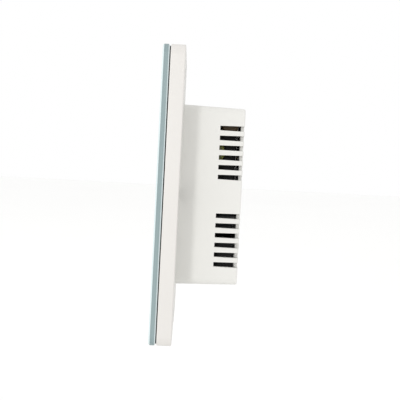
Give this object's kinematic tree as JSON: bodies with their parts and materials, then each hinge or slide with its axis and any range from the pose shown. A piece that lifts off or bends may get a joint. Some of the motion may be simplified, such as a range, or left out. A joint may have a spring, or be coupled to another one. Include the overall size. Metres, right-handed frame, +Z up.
{
  "type": "wall thermostat",
  "caption": "Square glass-fronted touch thermostat with a slim white frame and a vented rear box that sits in a flush wall box.",
  "frame": {"origin": "midway between the two wall-screw slots, on the wall plane", "axes": "+Z up, the glass faces -Y, +X to the right as seen from the front; the rear box runs into the wall along +Y"},
  "size_m": [0.086, 0.0251, 0.086],
  "materials": {
    "clear_glass": "polished face, ground edge",
    "black_adhesive": "matt",
    "white_moulding": "fine spark texture",
    "display_glass": "polished",
    "clear_acrylic": "polished",
    "lamp_resin": "smooth",
    "contact_rubber": "matt",
    "spring_wire": "drawn",
    "board_laminate": "solder resist",
    "chip_epoxy": "moulded",
    "black_moulding": "moulded",
    "socket_moulding": "moulded",
    "pin_metal": "plated",
    "zinc_steel": "zinc plated",
    "nickel_steel": "nickel plated",
    "tinned_copper": "tinned",
    "copper_wire": "enamelled",
    "soft_iron": "plated",
    "ferrite": "sintered",
    "winding_tape": "polyester film",
    "olive_epoxy": "dipped",
    "brown_epoxy": "dipped",
    "grey_film_case": "moulded",
    "black_sleeve": "shrunk film",
    "sensor_glass": "dipped"
  },
  "bodies": {
    "wall_half": {"rear_housing": "white_moulding", "power_board": "board_laminate", "board_socket": "socket_moulding", "power_board_screws": "zinc_steel", "terminal_block": "black_moulding", "terminal_bars": "tinned_copper", "relay_case": "black_moulding", "relay_coil": "copper_wire", "relay_yoke": "soft_iron", "relay_contact": "tinned_copper", "transformer_core": "ferrite", "transformer_winding": "winding_tape", "varistor": "olive_epoxy", "disc_capacitor": "brown_epoxy", "film_capacitor": "grey_film_case", "electrolytic_capacitors": "black_sleeve", "bridge_rectifier": "chip_epoxy", "fuse": "chip_epoxy"},
    "front_half": {"glass_panel": "clear_glass", "glass_adhesive": "black_adhesive", "front_cover": "white_moulding", "lcd_glass": "display_glass", "light_guide": "clear_acrylic", "backlight_leds": "lamp_resin", "zebra_strips": "contact_rubber", "touch_springs": "spring_wire", "control_board": "board_laminate", "microcontroller": "chip_epoxy", "buzzer": "black_moulding", "pin_header": "pin_metal", "control_board_screws": "zinc_steel", "air_sensor": "sensor_glass"},
    "armature": {"relay_armature": "soft_iron"},
    "screw_1": {"terminal_screw_1": "zinc_steel"},
    "cage_1": {"wire_cage_1": "nickel_steel"},
    "screw_2": {"terminal_screw_2": "zinc_steel"},
    "cage_2": {"wire_cage_2": "nickel_steel"},
    "screw_3": {"terminal_screw_3": "zinc_steel"},
    "cage_3": {"wire_cage_3": "nickel_steel"},
    "screw_4": {"terminal_screw_4": "zinc_steel"},
    "cage_4": {"wire_cage_4": "nickel_steel"},
    "screw_5": {"terminal_screw_5": "zinc_steel"},
    "cage_5": {"wire_cage_5": "nickel_steel"},
    "screw_6": {"terminal_screw_6": "zinc_steel"},
    "cage_6": {"wire_cage_6": "nickel_steel"}
  },
  "joints": [
    {"name": "front_pull", "type": "slide", "parent": "wall_half", "child": "front_half", "axis": [0, -1, 0], "range_m": [0, 0.02]},
    {"name": "armature_tilt", "type": "hinge", "parent": "wall_half", "child": "armature", "pos_m": [0.0146, 0.0066, 0.0126], "axis": [0, 0, 1], "range_deg": [0, 3], "stiffness_Nm_per_rad": 0.001},
    {"name": "screw_turn_1", "type": "hinge", "parent": "wall_half", "child": "screw_1", "pos_m": [-0.018, 0.0142, -0.0193], "axis": [0, -1, 0], "range_deg": [0, 1728]},
    {"name": "cage_lift_1", "type": "slide", "parent": "wall_half", "child": "cage_1", "axis": [0, 1, 0], "range_m": [0, 0.0024]},
    {"name": "screw_turn_2", "type": "hinge", "parent": "wall_half", "child": "screw_2", "pos_m": [-0.0108, 0.0142, -0.0193], "axis": [0, -1, 0], "range_deg": [0, 1728]},
    {"name": "cage_lift_2", "type": "slide", "parent": "wall_half", "child": "cage_2", "axis": [0, 1, 0], "range_m": [0, 0.0024]},
    {"name": "screw_turn_3", "type": "hinge", "parent": "wall_half", "child": "screw_3", "pos_m": [-0.0036, 0.0142, -0.0193], "axis": [0, -1, 0], "range_deg": [0, 1728]},
    {"name": "cage_lift_3", "type": "slide", "parent": "wall_half", "child": "cage_3", "axis": [0, 1, 0], "range_m": [0, 0.0024]},
    {"name": "screw_turn_4", "type": "hinge", "parent": "wall_half", "child": "screw_4", "pos_m": [0.0036, 0.0142, -0.0193], "axis": [0, -1, 0], "range_deg": [0, 1728]},
    {"name": "cage_lift_4", "type": "slide", "parent": "wall_half", "child": "cage_4", "axis": [0, 1, 0], "range_m": [0, 0.0024]},
    {"name": "screw_turn_5", "type": "hinge", "parent": "wall_half", "child": "screw_5", "pos_m": [0.0108, 0.0142, -0.0193], "axis": [0, -1, 0], "range_deg": [0, 1728]},
    {"name": "cage_lift_5", "type": "slide", "parent": "wall_half", "child": "cage_5", "axis": [0, 1, 0], "range_m": [0, 0.0024]},
    {"name": "screw_turn_6", "type": "hinge", "parent": "wall_half", "child": "screw_6", "pos_m": [0.018, 0.0142, -0.0193], "axis": [0, -1, 0], "range_deg": [0, 1728]},
    {"name": "cage_lift_6", "type": "slide", "parent": "wall_half", "child": "cage_6", "axis": [0, 1, 0], "range_m": [0, 0.0024]}
  ],
  "couplings": [
    {"joint": "screw_turn_1", "follows": "cage_lift_1", "rad_per_m": 12566},
    {"joint": "screw_turn_2", "follows": "cage_lift_2", "rad_per_m": 12566},
    {"joint": "screw_turn_3", "follows": "cage_lift_3", "rad_per_m": 12566},
    {"joint": "screw_turn_4", "follows": "cage_lift_4", "rad_per_m": 12566},
    {"joint": "screw_turn_5", "follows": "cage_lift_5", "rad_per_m": 12566},
    {"joint": "screw_turn_6", "follows": "cage_lift_6", "rad_per_m": 12566}
  ]
}
